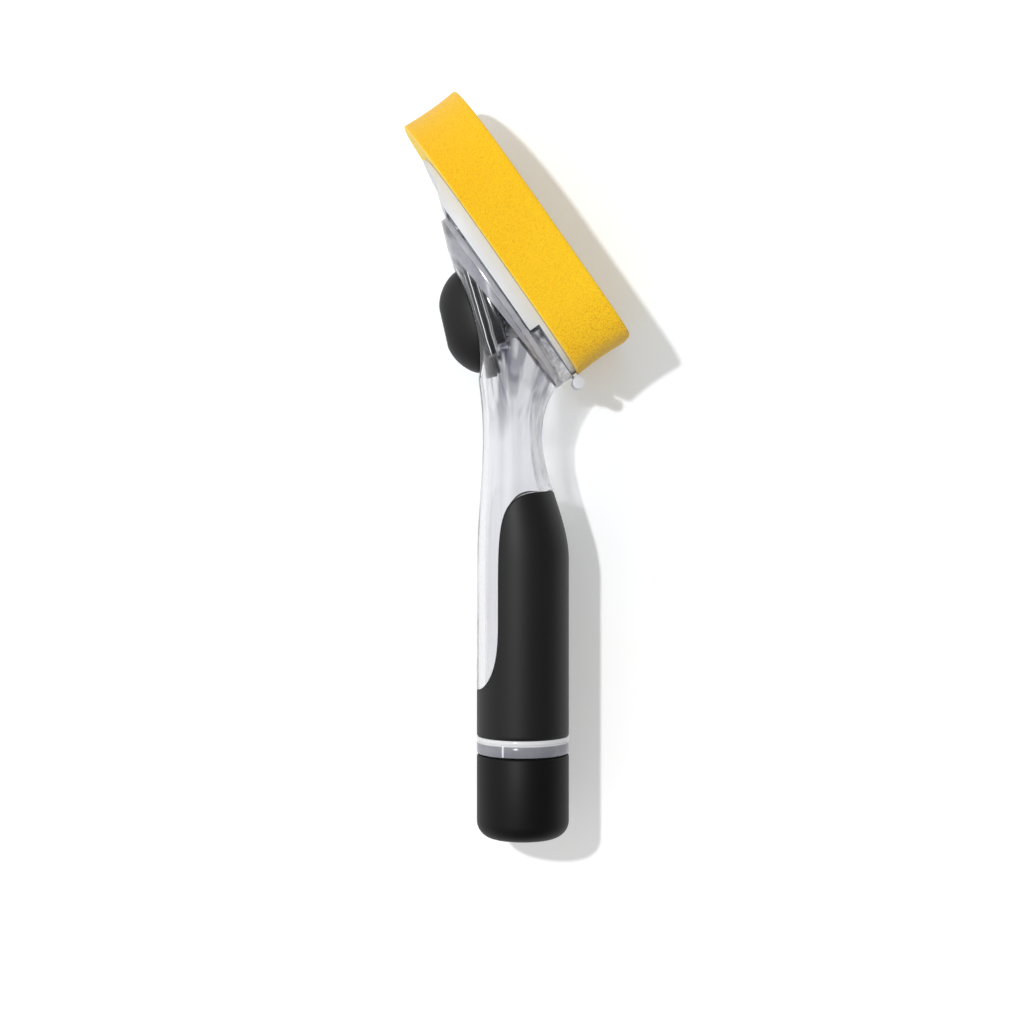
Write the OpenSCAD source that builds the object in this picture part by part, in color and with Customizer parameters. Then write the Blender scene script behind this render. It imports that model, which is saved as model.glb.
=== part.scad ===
/* [Handle] */
// Diameter of the round lower handle, the collar ring and the base cap
handle_d = 29.2; // [26:0.1:32]
// Height where the straight handle ends and the waist begins
straight_top = 88; // [80:1:96]
// Height of the narrow waist
waist_z = 127; // [122:1:132]
// Reach of the waist towards the sponge side
waist_front = 6.2; // [5:0.1:8]
// Reach of the waist towards the button side
waist_back = 12.75; // [11:0.05:14]
// Width of the waist from side to side
waist_w = 24.6; // [21:0.1:28]
// Wall of the clear handle
handle_wall = 2.5; // [2.2:0.1:3.2]
// Wall of the clear head
head_wall = 1.8; // [1.4:0.1:2.4]

/* [Head] */
// Slant of the head from upright, in degrees
head_tilt = 35.1; // [32:0.1:38]
// Distance of the middle of the head's face behind the handle's front
head_in = 20.35; // [18.6:0.05:22]
// Height of the middle of the head's face above the waist
head_up = 42.9; // [40:0.1:46]
// Length of the head's flange along the slant
flange_l = 64.4; // [62:0.1:68]
// Width of the head's flange
flange_w = 41; // [38:0.5:46]
// Thickness of the flange band at its middle, cover included
band_t = 4.3; // [3.8:0.1:5]
// Angle by which the band thins towards its lower end, in degrees
band_wedge = 3.4; // [2:0.1:4]
// Thickness of the head's cover
cover_t = 2; // [1.6:0.1:2.4]
// Width of the dock block on the cover
dock_w = 22; // [16:0.5:26]
// Length of the dock block on the cover
dock_l = 18; // [12:0.1:18.5]

/* [Grip] */
// Thickness of the rubber grip
grip_t = 1.3; // [0.9:0.1:1.6]
// Height of the grip's upper edge at the sponge side
grip_top = 109.8; // [104:0.1:114]
// Height of the window's lowest point
window_low = 47; // [42:0.5:54]
// Height over which the window's bottom rounds out
window_bowl = 24; // [14:0.5:30]
// Half angle of the window, measured round the handle from the back
window_half = 57.5; // [45:0.5:65]

/* [Button and pump] */
// Place of the button's middle along the head's back, as a share of the way from waist to mouth
button_at = 0.66; // [0.62:0.01:0.68]
// Length of the pump housing's rim
button_l = 35.6; // [32:0.1:36.4]
// Width of the pump housing's rim
button_w = 24.8; // [22:0.1:26]
// Height of the thumb dome above the shell
button_h = 7.9; // [6:0.1:9]
// Depth by which the rim drops at its sides to follow the round shell
button_saddle = 2.8; // [2:0.1:3]
// Travel of the button
button_stroke = 2.4; // [1.8:0.1:2.4]
// Thickness of the rubber dome
pad_t = 1.7; // [1.2:0.1:2]
// Wall of the pump housing
housing_wall = 1; // [0.8:0.05:1.2]
// Depth of the housing's floor below the rim
housing_floor = 5.2; // [5.2:0.1:5.6]
// Height of the pump's axis above the button's lower end
pump_up = 12.8; // [12:0.1:13.6]
// Radius of the pump's bore
pump_r = 5; // [4.4:0.1:5.1]
// Wall of the pump's chamber
chamber_wall = 1.1; // [0.9:0.05:1.3]
// Radius of the spring at the middle of its wire
spring_r = 5.7; // [5.6:0.05:5.9]
// Thickness of the spring's wire
spring_wire = 0.7; // [0.5:0.05:0.75]
// Number of the spring's curls
spring_curls = 4; // [3:0.5:4]
// Width of the seal between the pump housing and the shell
gasket_w = 0.8; // [0.6:0.1:1.2]

/* [Refill] */
// Thickness of the sponge
sponge_t = 19.4; // [14:0.1:25]
// Length of the sponge
sponge_l = 95.4; // [88:0.2:104]
// Greatest width of the sponge
sponge_w = 59; // [54:0.5:66]
// Distance of the sponge's widest place from its tip
sponge_wide_at = 40; // [36:0.5:46]
// Reach of the sponge past the flange's lower end
sponge_past = 0.1; // [0:0.1:1.5]
// Greatest width of the tray
tray_w = 50; // [46:0.5:52]
// Height of the tray between the flange and the sponge
tray_h = 5.2; // [4.8:0.1:6]
// Thickness of the tray's roof and walls
tray_t = 1.6; // [1.2:0.1:1.8]
// Distance of the tray's widest place from its tip
tray_wide_from_tip = 31; // [26:0.5:36]
// Distance of the tray's tip from the sponge's tip
tray_inset = 12.2; // [9:0.1:14]
// Height of the side walls' lower ends above the flange's lower end
notch_up = 18.9; // [18:0.1:21]
// Radius of the release tab's rounded lip
tab_r = 1.95; // [1.6:0.05:2.3]
// Width of the release tab
tab_w = 18; // [12:0.5:24]

/* [Cap] */
// Height of the collar ring's lower face
collar_low = 26.8; // [24:0.1:30]
// Height of the collar ring
collar_h = 5.5; // [4:0.1:7]
// Wall of the cap's rubber round its liner
cap_wall = 1.92; // [1.5:0.02:2.5]
// Wall of the neck
neck_wall = 1.6; // [1.2:0.1:2]
// Height of the neck's open end
neck_end = 9; // [8:0.1:12]
// Thickness of the threaded liner in the cap
liner_t = 1.4; // [1:0.1:1.6]
// Thickness of the washer in the cap
washer_t = 1.2; // [0.8:0.1:1.6]
// Rounding of the cap's lower edge
cap_round = 5.5; // [3:0.1:5.6]

/* [Clearances] */
// Gap between pieces of the same body
joint_gap = 0.05; // [0.02:0.01:0.1]
// Gap between pieces that move past each other
move_gap = 0.35; // [0.3:0.01:0.45]
// Gap between a piece and the seat that it rests on or lifts from
seat_gap = 0.3; // [0.2:0.01:0.4]
// Running clearance of the piston seal and of the cap's liner
run_gap = 0.08; // [0.05:0.01:0.1]

/* [Hidden] */
$fn = 64;

clear = [0.86, 0.88, 0.93, 0.4];
black = [0.10, 0.10, 0.11];
rubber_black = [0.15, 0.15, 0.16];
silicone = [0.86, 0.87, 0.85];

handle_r = handle_d / 2;
head_x = handle_r - head_in;
head_z = waist_z + head_up;
waist_h = waist_z - straight_top;
collar_top = collar_low + collar_h;
grip_edge = 0.4;

// Shares that shape the two long curves of the head between the waist and the mouth
back_ease = 0.26;
back_pull = 0.344;
back_knee = 0.62;
front_ease = 0.42;
front_pull = 0.33;
front_knee = 0.705;

// The flange runs from flange_low to flange_high, and below the cover its upper end is slanted so
// that it carries on the line of the head's back
flange_high = flange_l / 2;
flange_low = -flange_l / 2;
band_slant = 2.5;
lip = 0.4;
mouth_high = (flange_high - band_slant * (band_t - cover_t)) / (1 + band_slant * tan(band_wedge)) - lip;
mouth_low = flange_low + lip;
opening_low = flange_low + 2.3;
opening_high = mouth_high - 1;
opening_w = flange_w - 5.4;
head_power = 2.5;
mouth_back = head_pt(under_x(mouth_high), mouth_high);
mouth_front = head_pt(under_x(mouth_low), mouth_low);

oval_power = 2.3;
button_tilt = slant_of(tangent(button_at + 1, 0));
button_o = back_at(button_at + 1);
pad_l = button_l - 2 * housing_wall - 2 * move_gap;
pad_w = button_w - 2 * housing_wall - 2 * move_gap;
core_t = 1.3;
core_drop = pad_t + 2 * joint_gap;
core_l = pad_l - 2 * core_drop;
core_w = pad_w - 2 * core_drop;
dome_flat = 0.35;
saddle_r = (pow(button_w / 2, 2) + pow(button_saddle, 2)) / (2 * button_saddle);
skirt_floor = housing_floor - button_stroke - move_gap;
pad_skirt = skirt_floor - button_saddle * pow(pad_w / button_w, 2);
core_skirt = skirt_floor - button_saddle * pow(core_w / button_w, 2);
stem_r = 2.4;
boss_r = 3.6;
boss_top = 0.3 + pad_t + core_t - button_h;
spring_seat = 1.6;
spring_seat_t = 0.8;
pump_z = pump_up - button_l / 2;
outlet_r = 1.5;
inlet_r = 0.8;
grommet_r = 3;
nozzle_r = 4.2;
nozzle_foot = foot_on_head();
pocket_r = 3.2;
pocket_floor = 0.8;
bill_seat_t = 0.8;
valve_t = 0.5;

// The chamber reaches down to the cover's sloping underside, and the piston's lowest place is
// just above the inlet valve
face_slope = head_tilt - button_tilt;
chamber_r = pump_r + chamber_wall;
chamber_end = nozzle_foot[0] - chamber_r * tan(face_slope) - seat_gap / cos(face_slope);
chamber_top = housing_floor + housing_wall + joint_gap;
pump_floor = chamber_end - chamber_wall;
land_h = 0.8;
groove_h = 1;
piston_r = pump_r - 0.15;
groove_r = pump_r - 1.1;
piston_h = 2 * land_h + groove_h;
piston_top = pump_floor - valve_t - 2 * joint_gap - seat_gap - button_stroke - piston_h;
groove_top = piston_top + land_h;

sponge_back = tray_h + 0.1;
sponge_low = sponge_past - flange_low;
notch_low = -flange_low - notch_up;
sponge_high = sponge_l - sponge_low;
tray_high = sponge_high - tray_inset;
tray_low = -sponge_low + 0.9;
tray_wide_at = tray_high - tray_wide_from_tip;
tray_roof = tray_h - tray_t;
tray_tip_t = 1;
// Outline of the tray's back over the flange's upper end, from the flange to the thin tip
tray_back = [[seat_gap, flange_high + 1], [tray_h * 0.22, flange_high + 5],
             [tray_h * 0.55, flange_high + 8], [tray_h - tray_tip_t, tray_high + 0.2]];
tab_axis_z = tray_low - seat_gap;
tab_x = tray_h - 1.2;
tab_z = -sponge_low - tab_r - 0.45;

cap_top = collar_low - seat_gap;
liner_out = handle_r - cap_wall;
liner_in = liner_out - liner_t;
neck_r = liner_in - run_gap;
washer_top = neck_end - 0.2;
liner_floor = washer_top - washer_t - 0.1;
liner_base = liner_floor - 1.5;

function lerp(a, b, t) = a + (b - a) * t;
function spow(v, e) = sign(v) * pow(abs(v), e);
function bez(a, b, c, d, t) =
    a * pow(1 - t, 3) + b * 3 * t * pow(1 - t, 2) + c * 3 * t * t * (1 - t) + d * pow(t, 3);

// A point of the head's own frame, x out of the face and z up along it, as a place in the side view
function head_pt(x, z) =
    [head_x + x * cos(head_tilt) - z * sin(head_tilt), head_z + x * sin(head_tilt) + z * cos(head_tilt)];
function under_x(z) = -(band_t + z * tan(band_wedge));

// The two long curves of the clear shell in the side view: s is 0 at the shoulder, 1 at the waist
// and 2 at the mouth, and below 0 the handle is straight
function back_at(s) =
    s <= 0 ? [-handle_r, straight_top + s * waist_h] :
    s <= 1 ? bez([-handle_r, straight_top], [-handle_r, lerp(straight_top, waist_z, 1 / 3)],
                 [-waist_back, lerp(straight_top, waist_z, 2 / 3)], [-waist_back, waist_z], s) :
    bez([-waist_back, waist_z], [-waist_back, lerp(waist_z, mouth_back[1], back_ease)],
        [lerp(-waist_back, mouth_back[0], back_pull), lerp(waist_z, mouth_back[1], back_knee)],
        mouth_back, s - 1);
function front_at(s) =
    s <= 0 ? [handle_r, straight_top + s * waist_h] :
    s <= 1 ? bez([handle_r, straight_top], [handle_r, lerp(straight_top, waist_z, 1 / 3)],
                 [waist_front, lerp(straight_top, waist_z, 2 / 3)], [waist_front, waist_z], s) :
    bez([waist_front, waist_z], [waist_front, lerp(waist_z, mouth_front[1], front_ease)],
        [lerp(waist_front, mouth_front[0], front_pull), lerp(waist_z, mouth_front[1], front_knee)],
        mouth_front, s - 1);
function half_w(s) =
    s <= 0 ? handle_r :
    s <= 1 ? bez(handle_r, handle_r, waist_w / 2, waist_w / 2, s) :
    bez(waist_w / 2, waist_w / 2 + 0.7, flange_w / 2 + 0.6, flange_w / 2 - lip, s - 1);
function power_at(s) = s <= 1 ? 2 : lerp(2, head_power, s - 1);
function wall_at(s) = s <= 0 ? handle_wall : s >= 1 ? head_wall : lerp(handle_wall, head_wall, s);

// Direction of the back curve (side 0) or the front curve (side 1)
function tangent(s, side) =
    let (lo = max(s - 0.01, -1), hi = min(s + 0.01, 2),
         v = side == 0 ? back_at(hi) - back_at(lo) : front_at(hi) - front_at(lo)) v / norm(v);
function slant_of(v) = atan2(-v[0], v[1]);

// One ring of the shell: middle, direction across, half length, half width and power, drawn in by
// an even wall whatever the slope of the curves
function ring_at(s, inset) =
    let (b = back_at(s), f = front_at(s), e = (f - b) / norm(f - b),
         kb = abs(cross(tangent(s, 0), e)), kf = abs(cross(tangent(s, 1), e)),
         bi = b + e * inset / kb, fi = f - e * inset / kf)
    [(bi + fi) / 2, e, norm(fi - bi) / 2, half_w(s) - inset, power_at(s)];
function ring_point(r, a) =
    let (q = 2 / r[4], u = r[2] * spow(cos(a), q), v = r[3] * spow(sin(a), q))
    [r[0][0] + r[1][0] * u, v, r[0][1] + r[1][1] * u];
// A ring of the flange band in the head's frame, from zl to zh and at depth x, or on the band's
// sloping underside
function band_ring(x, zl, zh, w, sloping = false) =
    let (q = 2 / head_power)
    [for (c = columns)
        let (z = (zl + zh) / 2 - (zh - zl) / 2 * spow(cos(c[0]), q),
             p = head_pt(sloping ? under_x(z) : x, z))
        [p[0], w / 2 * spow(sin(c[0]), q), p[1]]];

// Height of the grip's upper edge at angle a round the handle, 0 at the sponge side: a rounded
// front and a U-shaped window at the back
function edge_z(a) =
    let (side = 180 - window_half, mid = window_low + window_bowl, b = 180 - a)
    a < side ? mid + (grip_top - mid) * pow(1 - pow(a / side, 5), 0.2) :
    window_low + window_bowl * (1 - pow(max(0, 1 - pow(b / window_half, 3)), 1 / 3));
front_cols = 18;
window_cols = 8;
half_columns =
    [for (i = [0:front_cols - 1]) (180 - window_half) * (1 - pow(1 - i / front_cols, 2.2)),
     for (i = [0:window_cols]) 180 - window_half * (1 - pow(i / window_cols, 1.8))];
columns =
    [for (a = half_columns) [a, edge_z(a)],
     for (i = [len(half_columns) - 2:-1:1]) [-half_columns[i], edge_z(half_columns[i])]];
function s_of(z) = (z - straight_top) / waist_h;
function column_row(inset, zs) =
    [for (i = [0:len(columns) - 1]) ring_point(ring_at(s_of(zs[i]), inset), columns[i][0])];
function shell_row(s, inset) = let (r = ring_at(s, inset)) [for (c = columns) ring_point(r, c[0])];

// A closed wall swept round the body: its rows wrap and its columns wrap
module wall_solid(rows) {
    n = len(rows);
    m = len(rows[0]);
    polyhedron(points = [for (row = rows) each row],
               faces = [for (i = [0:n - 1], j = [0:m - 1])
                            let (a = i * m + j, b = i * m + (j + 1) % m,
                                 c = ((i + 1) % n) * m + (j + 1) % m, d = ((i + 1) % n) * m + j)
                            each [[a, c, b], [a, d, c]]],
               convexity = 10);
}

// A closed loft from its first row to its last, each closed by a fan to a middle point
module loft(rows, first, last) {
    n = len(rows);
    m = len(rows[0]);
    polyhedron(points = [for (row = rows) each row, first, last],
               faces = [for (i = [0:n - 2], j = [0:m - 1])
                            let (a = i * m + j, b = i * m + (j + 1) % m,
                                 c = (i + 1) * m + (j + 1) % m, d = (i + 1) * m + j)
                            each [[a, c, b], [a, d, c]],
                        for (j = [0:m - 1]) [n * m, j, (j + 1) % m],
                        for (j = [0:m - 1]) [n * m + 1, (n - 1) * m + (j + 1) % m, (n - 1) * m + j]],
               convexity = 10);
}

// Frames: the head's face, and the button with x into the shell and z up along its back
module on_head() {
    translate([head_x, 0, head_z]) rotate([0, -head_tilt, 0]) children();
}
module on_button() {
    translate([button_o[0], 0, button_o[1]]) rotate([0, -button_tilt, 0]) children();
}
module along_x() {
    rotate([90, 0, 90]) children();
}
// Everything on the inner side of a plane parallel to the head's face, depth below it
module below_face(depth) {
    far = 2 * head_z;
    on_head() translate([-far - depth, -far / 2, -far]) cube([far, far, 2 * far]);
}

// Half outlines of the oval pieces, as points round a superellipse with two half lengths
function oval(w, up, low, p_up, p_low, n = 48) =
    [for (i = [0:n - 1]) let (a = 360 * i / n, p = sin(a) >= 0 ? p_up : p_low)
        [w / 2 * spow(cos(a), 2 / p), (sin(a) >= 0 ? up : low) * spow(sin(a), 2 / p)]];
function button_oval(grow) =
    oval(button_w + 2 * grow, button_l / 2 + grow, button_l / 2 + grow, oval_power, oval_power);
module button_prism(grow, x0, x1) {
    translate([x0, 0, 0]) along_x() linear_extrude(x1 - x0) polygon(button_oval(grow));
}
// The round shell under the button, as a cylinder that runs along it
module saddle() {
    translate([saddle_r, 0, -button_l]) cylinder(r = saddle_r, h = 2 * button_l, $fn = 128);
}

module reservoir() {
    recess_rows = 9;
    step_rows = 4;
    head_rows = 15;
    recess_low = collar_top - 1;
    plain_s = 0.64;
    color(clear) difference() {
        union() {
            wall_solid([
                for (i = [0:recess_rows])
                    column_row(grip_t, [for (c = columns) lerp(recess_low, c[1], i / recess_rows)]),
                for (i = [0:step_rows - 1])
                    column_row(0, [for (c = columns)
                        lerp(c[1], straight_top + plain_s * waist_h, i / step_rows)]),
                for (i = [0:head_rows]) shell_row(lerp(plain_s, 2, i / head_rows), 0),
                band_ring(0, mouth_low - lip, mouth_high + lip, flange_w, true),
                band_ring(-cover_t, flange_low, flange_high, flange_w),
                band_ring(-cover_t, opening_low, opening_high, opening_w),
                for (i = [head_rows:-1:0]) let (s = lerp(0.1, 2, i / head_rows)) shell_row(s, wall_at(s)),
                shell_row(s_of(recess_low), handle_wall)
            ]);
            rotate_extrude() polygon([
                [neck_r - neck_wall, neck_end], [neck_r, neck_end], [neck_r, collar_low],
                [handle_r, collar_low], [handle_r, collar_low + collar_h * 0.68],
                [handle_r - 0.25, collar_low + collar_h * 0.7],
                [handle_r - 0.25, collar_low + collar_h * 0.74],
                [handle_r, collar_low + collar_h * 0.76], [handle_r, collar_top],
                [neck_r - neck_wall, collar_top]]);
        }
        on_button() button_prism(gasket_w, -button_h, housing_floor);
    }
}

module grip_sleeve() {
    grip_rows = 9;
    foot = collar_top;
    inner = grip_t - joint_gap;
    tops = [for (c = columns) c[1] - joint_gap];
    color(rubber_black) wall_solid([
        column_row(grip_edge, [for (t = tops) foot]),
        for (i = [0:grip_rows])
            column_row(0, [for (t = tops) lerp(foot + grip_edge, t - grip_edge, i / grip_rows)]),
        column_row(grip_edge * 0.7, tops),
        for (i = [grip_rows:-1:0]) column_row(inner, [for (t = tops) lerp(foot, t, i / grip_rows)])
    ]);
}

// Where the pump's axis meets the underside of the head's cover: depth from the rim, and the
// height of that place along the head's face
function foot_on_head() =
    let (n = [cos(head_tilt), sin(head_tilt)], up = [-sin(head_tilt), cos(head_tilt)],
         d = [cos(button_tilt), sin(button_tilt)], l = [-sin(button_tilt), cos(button_tilt)],
         o = button_o + l * pump_z, q = [head_x, head_z] - n * cover_t,
         x = ((q - o) * n) / (d * n))
    [x, (o + d * x - [head_x, head_z]) * up];

module head_cover() {
    rib_w = 1.6;
    dock_low = flange_low + 0.2;
    dock_h = tray_roof - seat_gap;
    pocket_w = dock_w / 3 - rib_w;
    hook_in = 8.2;
    hook_w = 16;
    hook_t = 2.4;
    root = 0.5;
    color(clear) on_head() difference() {
        union() {
            translate([-cover_t, 0, 0]) along_x() linear_extrude(cover_t)
                polygon(oval(flange_w, flange_high, -flange_low, head_power, head_power));
            difference() {
                translate([-root, -dock_w / 2, dock_low]) cube([dock_h + root, dock_w, dock_l]);
                for (side = [-1, 0, 1])
                    translate([1, side * (dock_w - rib_w) / 3 - pocket_w / 2, dock_low + rib_w])
                        cube([dock_h, pocket_w, dock_l - 2 * rib_w]);
            }
            translate([-root, -hook_w / 2, flange_high - hook_in]) cube([dock_h + root, hook_w, hook_t]);
            translate([-root, 0, nozzle_foot[1]]) along_x() cylinder(r = nozzle_r, h = dock_h + root);
        }
        translate([-cover_t - 1, 0, nozzle_foot[1]]) along_x()
            cylinder(r = outlet_r, h = cover_t + tray_h + 1);
        translate([pocket_floor, 0, nozzle_foot[1]]) along_x() cylinder(r = pocket_r, h = tray_h);
    }
}

module outlet_valve() {
    bill_h = bill_seat_t + 1.2;
    color(silicone) on_head() translate([pocket_floor + joint_gap, 0, nozzle_foot[1]]) along_x()
        rotate_extrude() polygon([
            [0.9, 0], [pocket_r - joint_gap, 0], [pocket_r - joint_gap, bill_seat_t],
            [1.7, bill_seat_t], [0.5, bill_h], [0.15, bill_h], [0.9, 0.6]]);
}

module valve_retainer() {
    low = pocket_floor + bill_seat_t + 2 * joint_gap;
    color("white") on_head() translate([low, 0, nozzle_foot[1]]) along_x() difference() {
        cylinder(r = pocket_r - joint_gap, h = tray_roof - seat_gap - low);
        translate([0, 0, -1]) cylinder(r = outlet_r + 0.4, h = tray_h);
    }
}

module pump_housing() {
    color(black) difference() {
        intersection() {
            on_button() button_prism(0, -1, housing_floor + housing_wall);
            on_button() saddle();
            below_face(cover_t + seat_gap);
        }
        intersection() {
            on_button() button_prism(-housing_wall, -2, housing_floor);
            below_face(cover_t + seat_gap + housing_wall);
        }
        on_button() translate([0, 0, pump_z]) along_x() cylinder(r = pump_r, h = housing_floor + 2 * housing_wall);
    }
}

module pump_chamber() {
    weld_w = 1.2;
    weld_t = 0.8;
    ports = 4;
    color(clear) on_button() translate([0, 0, pump_z]) along_x() difference() {
        union() {
            translate([0, 0, chamber_top]) cylinder(r = chamber_r, h = chamber_end - chamber_top);
            translate([0, 0, chamber_top]) cylinder(r = chamber_r + weld_w, h = weld_t);
        }
        translate([0, 0, chamber_top - 1]) cylinder(r = pump_r, h = pump_floor - chamber_top + 1);
        translate([0, 0, pump_floor - 1]) {
            cylinder(r = outlet_r, h = chamber_wall + 2);
            for (i = [0:ports - 1]) rotate([0, 0, (i + 0.5) * 360 / ports])
                translate([pump_r * 0.66, 0, 0]) cylinder(r = inlet_r, h = chamber_wall + 2);
        }
    }
}

module housing_gasket() {
    color(rubber_black) on_button() intersection() {
        difference() {
            button_prism(gasket_w - joint_gap, 0, button_saddle + head_wall);
            button_prism(joint_gap, -1, button_saddle + head_wall + 1);
        }
        translate([0.25, 0, 0]) saddle();
    }
}

module inlet_valve() {
    color(silicone) on_button() translate([pump_floor - valve_t - joint_gap, 0, pump_z]) along_x()
        difference() {
            cylinder(r = pump_r - move_gap, h = valve_t);
            translate([0, 0, -1]) cylinder(r = outlet_r + move_gap, h = valve_t + 2);
        }
}

module outlet_grommet() {
    start = chamber_end + joint_gap;
    color(silicone) intersection() {
        on_button() translate([start, 0, pump_z]) along_x() difference() {
            cylinder(r = grommet_r, h = nozzle_foot[0] - start + grommet_r);
            translate([0, 0, -1]) cylinder(r = outlet_r, h = nozzle_foot[0]);
        }
        below_face(cover_t + joint_gap);
    }
}

// One curl has eight rings of six sides, and the wire is one closed tube
function spring_ring(k, n, low, high) =
    let (turn = 360 * spring_curls * k / n, z = lerp(low, high, k / n),
         lead = atan((high - low) / (2 * PI * spring_r * spring_curls)))
    [for (i = [0:5]) let (a = 60 * i, u = spring_wire / 2 * cos(a), v = spring_wire / 2 * sin(a))
        [(spring_r + u) * cos(turn) + v * sin(lead) * sin(turn),
         (spring_r + u) * sin(turn) - v * sin(lead) * cos(turn), z + v * cos(lead)]];
module return_spring() {
    low = -spring_seat + joint_gap + spring_wire / 2 + 0.02;
    high = housing_floor - joint_gap - spring_wire / 2 - 0.02;
    n = round(spring_curls * 8);
    rings = [for (k = [0:n]) spring_ring(k, n, low, high)];
    gap = min([for (i = [0:n - 7], j = [i + 7:min(n, i + 9)], p = rings[i], q = rings[j]) norm(p - q)]);
    echo(least_gap_between_curls = gap);
    color("silver") on_button() translate([0, 0, pump_z]) along_x()
        loft(rings, [spring_r, 0, low],
             [spring_r * cos(360 * spring_curls), spring_r * sin(360 * spring_curls), high]);
}

// The thumb dome: rho is 1 at the rim and 0 in the middle of its flat top
function dome_x(rho, h) = -h * pow(1 - pow(max(0, (rho - dome_flat) / (1 - dome_flat)), 1.7), 0.7);
function dome_row(rho, h, l, w) =
    [for (p = oval(w, l / 2, l / 2, oval_power, oval_power, 40))
        [dome_x(rho, h) + button_saddle * pow(2 * rho * p[0] / button_w, 2), -rho * p[0],
         rho * p[1]]];
function skirt_row(x, l, w) =
    [for (p = oval(w, l / 2, l / 2, oval_power, oval_power, 40))
        [x + button_saddle * pow(2 * p[0] / button_w, 2), -p[0], p[1]]];
dome_steps = [1, 0.99, 0.965, 0.92, 0.85, 0.76, 0.65, 0.53, 0.43, dome_flat];
module dome_shell(h, l, w, t, skirt, t_in) {
    loft([for (i = [len(dome_steps) - 1:-1:1]) dome_row(dome_steps[i], h - t, l - 2 * t_in, w - 2 * t_in),
          dome_row(1, 0, l - 2 * t_in, w - 2 * t_in),
          skirt_row(skirt, l - 2 * t_in, w - 2 * t_in), skirt_row(skirt, l, w),
          for (r = dome_steps) dome_row(r, h, l, w)],
         [-(h - t), 0, 0], [-h, 0, 0]);
}

module button_pad() {
    color(rubber_black) on_button() dome_shell(button_h, pad_l, pad_w, pad_t, pad_skirt, pad_t);
}

module button_core() {
    color(black) on_button() difference() {
        union() {
            dome_shell(button_h - core_drop, core_l, core_w, core_t, core_skirt, core_t);
            translate([boss_top, 0, pump_z]) along_x() cylinder(r = boss_r, h = 1 - boss_top);
            translate([-spring_seat - spring_seat_t, 0, pump_z]) along_x()
                cylinder(r = spring_r + spring_wire / 2, h = spring_seat_t);
        }
        translate([-spring_seat, 0, pump_z]) along_x()
            cylinder(r = stem_r + joint_gap, h = spring_seat + 2);
    }
}

module piston() {
    color(black) on_button() translate([0, 0, pump_z]) along_x() rotate_extrude() polygon([
        [0, -spring_seat + joint_gap], [stem_r, -spring_seat + joint_gap], [stem_r, piston_top],
        [piston_r, piston_top], [piston_r, groove_top], [groove_r, groove_top],
        [groove_r, groove_top + groove_h], [piston_r, groove_top + groove_h],
        [piston_r, piston_top + piston_h], [0, piston_top + piston_h]]);
}

module piston_seal() {
    color(silicone) on_button() translate([groove_top + joint_gap, 0, pump_z]) along_x() difference() {
        cylinder(r = pump_r - run_gap, h = groove_h - 2 * joint_gap);
        translate([0, 0, -1]) cylinder(r = groove_r + joint_gap, h = groove_h + 2);
    }
}

module cap_gasket() {
    color(silicone) translate([0, 0, washer_top - washer_t]) difference() {
        cylinder(r = neck_r - 0.2, h = washer_t);
        translate([0, 0, -1]) cylinder(r = neck_r - neck_wall - 2, h = washer_t + 2);
    }
}

module base_cap() {
    arc_steps = 8;
    color(rubber_black) rotate_extrude($fn = 96) polygon([
        [0, 0], [handle_r - cap_round, 0],
        for (i = [1:arc_steps])
            [handle_r - cap_round + cap_round * sin(90 * i / arc_steps),
             cap_round - cap_round * cos(90 * i / arc_steps)],
        [handle_r, cap_top - 0.4], [handle_r - 0.4, cap_top], [liner_out, cap_top],
        [liner_out, liner_base], [liner_out - 2.6, liner_base], [liner_out - 3, liner_base - 2.6],
        [0, liner_base - 2.6]]);
}

module cap_core() {
    color(black) rotate_extrude() polygon([
        [0, liner_base], [liner_out, liner_base], [liner_out, cap_top - 0.3], [liner_in, cap_top - 0.3],
        [liner_in, liner_floor], [0, liner_floor]]);
}

module tray_outline(inset) {
    translate([0, tray_wide_at]) polygon(oval(tray_w - 2 * inset, tray_high - tray_wide_at - inset,
        tray_wide_at - tray_low - inset, 2.3, 3.4));
}
// Everything in front of the tray's back outline, seen from the side and drawn in by a wall
module before_back(wall) {
    far = tray_high + 50;
    rotate([90, 0, 0]) linear_extrude(2 * far, center = true) polygon([
        [-1, -far], [-1, flange_high + seat_gap],
        for (p = tray_back) [p[0] + wall * 0.9, p[1] - wall * 0.5],
        [tray_h + 1, far], [tray_h + 1, -far]]);
}
module sponge_plate() {
    port_r = 2.2;
    color("white") on_head() difference() {
        intersection() {
            translate([seat_gap, 0, 0]) along_x() linear_extrude(tray_h - seat_gap) tray_outline(0);
            before_back(0);
        }
        intersection() {
            translate([-1, 0, 0]) along_x() linear_extrude(tray_roof + 1) tray_outline(tray_t);
            before_back(tray_t);
        }
        translate([-1, -tray_w, -tray_w - notch_low]) cube([tray_roof + 1, 2 * tray_w, tray_w]);
        translate([-1, 0, nozzle_foot[1]]) along_x() cylinder(r = port_r, h = 2 * tray_h);
    }
}

function sponge_row(x, inset) =
    let (up = sponge_wide_at - inset, low = sponge_l - sponge_wide_at - inset)
    [for (p = oval(sponge_w - 2 * inset, up, low, 2.4, 3.6, 52))
        [x, p[0], sponge_high - sponge_wide_at + p[1]]];
module sponge() {
    draw_in = 0.45;
    color([0.98, 0.77, 0.08]) on_head() translate([sponge_back, 0, 0])
        loft([sponge_row(0, 0.3), sponge_row(0.3, 0.05), sponge_row(sponge_t * 0.2, draw_in * 0.7),
              sponge_row(sponge_t * 0.5, draw_in), sponge_row(sponge_t * 0.8, draw_in * 0.7),
              sponge_row(sponge_t - 0.7, 0.1), sponge_row(sponge_t - 0.15, 0.6), sponge_row(sponge_t, 5)],
             [0, 0, sponge_high - sponge_wide_at], [sponge_t + 0.1, 0, sponge_high - sponge_wide_at]);
}

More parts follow.
